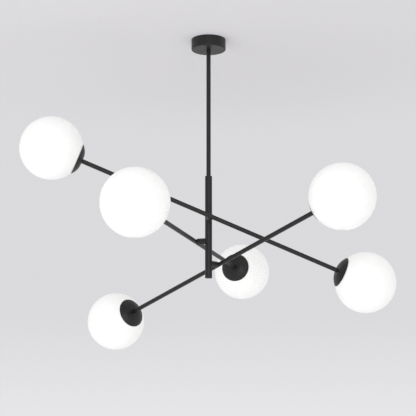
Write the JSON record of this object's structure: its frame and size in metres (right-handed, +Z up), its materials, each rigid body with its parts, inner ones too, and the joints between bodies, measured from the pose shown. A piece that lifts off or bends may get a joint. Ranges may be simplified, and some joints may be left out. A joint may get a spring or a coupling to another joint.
{
  "type": "multi-arm globe pendant light",
  "caption": "Ceiling pendant: a round canopy and rod carry a stem with straight crossing arms that tilt on friction swivels, each ending in lit opal globes under shallow cups.",
  "frame": {"origin": "on the stem's axis at the ceiling, the centre of the two ceiling screws", "axes": "+Z up along the stem into the ceiling, +X to the right and +Y away from the viewer in the picture"},
  "size_m": [0.8466, 0.8796, 0.7026],
  "materials": {
    "black_powder_coat": "satin",
    "opal_glass": "satin",
    "zinc_steel": "satin",
    "spring_steel": "satin",
    "turned_brass": "satin",
    "white_nylon": "matte",
    "holder_plastic": "matte",
    "bulb_white": "satin",
    "lead_sheath": "matte"
  },
  "bodies": {
    "stem": {"ceiling_bracket": "zinc_steel", "canopy": "black_powder_coat", "canopy_grub_screws": "black_powder_coat", "earth_screw": "turned_brass", "terminal_block": "white_nylon", "terminal_screws": "turned_brass", "canopy_nipple": "zinc_steel", "canopy_washer": "zinc_steel", "canopy_nut": "zinc_steel", "cord_grip": "white_nylon", "supply_lead": "lead_sheath", "down_rod": "black_powder_coat", "stem_top_bush": "black_powder_coat", "stem_tube": "black_powder_coat", "stem_end_plug": "black_powder_coat", "swivel_bases": "black_powder_coat", "swivel_nuts": "zinc_steel", "friction_washers": "zinc_steel", "pivot_pins": "turned_brass"},
    "arm_1": {"swivel_head_1": "black_powder_coat", "arm_tube_1": "black_powder_coat", "arm_lead_1": "lead_sheath", "arm_nipples_1": "zinc_steel", "globe_springs_1": "spring_steel", "cup_1a": "black_powder_coat", "lampholder_1a": "holder_plastic", "bulb_1a": "bulb_white", "globe_1a": "opal_glass", "cup_1b": "black_powder_coat", "lampholder_1b": "holder_plastic", "bulb_1b": "bulb_white", "globe_1b": "opal_glass"},
    "arm_2": {"swivel_head_2": "black_powder_coat", "arm_tube_2": "black_powder_coat", "arm_lead_2": "lead_sheath", "arm_nipples_2": "zinc_steel", "globe_springs_2": "spring_steel", "cup_2a": "black_powder_coat", "lampholder_2a": "holder_plastic", "bulb_2a": "bulb_white", "globe_2a": "opal_glass", "cup_2b": "black_powder_coat", "lampholder_2b": "holder_plastic", "bulb_2b": "bulb_white", "globe_2b": "opal_glass"},
    "arm_3": {"swivel_head_3": "black_powder_coat", "arm_tube_3": "black_powder_coat", "arm_lead_3": "lead_sheath", "arm_nipples_3": "zinc_steel", "globe_springs_3": "spring_steel", "cup_3a": "black_powder_coat", "lampholder_3a": "holder_plastic", "bulb_3a": "bulb_white", "globe_3a": "opal_glass", "cup_3b": "black_powder_coat", "lampholder_3b": "holder_plastic", "bulb_3b": "bulb_white", "globe_3b": "opal_glass"}
  },
  "joints": [
    {"name": "arm_1_tilt", "type": "hinge", "parent": "stem", "child": "arm_1", "pos_m": [0.00394, -0.01756, -0.4255], "axis": [0.219, -0.9757, 0], "range_deg": [-15, 39]},
    {"name": "arm_2_tilt", "type": "hinge", "parent": "stem", "child": "arm_2", "pos_m": [-0.01718, 0.00537, -0.4767], "axis": [-0.9545, 0.2982, 0], "range_deg": [-39, 15]},
    {"name": "arm_3_tilt", "type": "hinge", "parent": "stem", "child": "arm_3", "pos_m": [0.01324, 0.01219, -0.5279], "axis": [0.7355, 0.6775, 0], "range_deg": [-20, 33.5]}
  ]
}
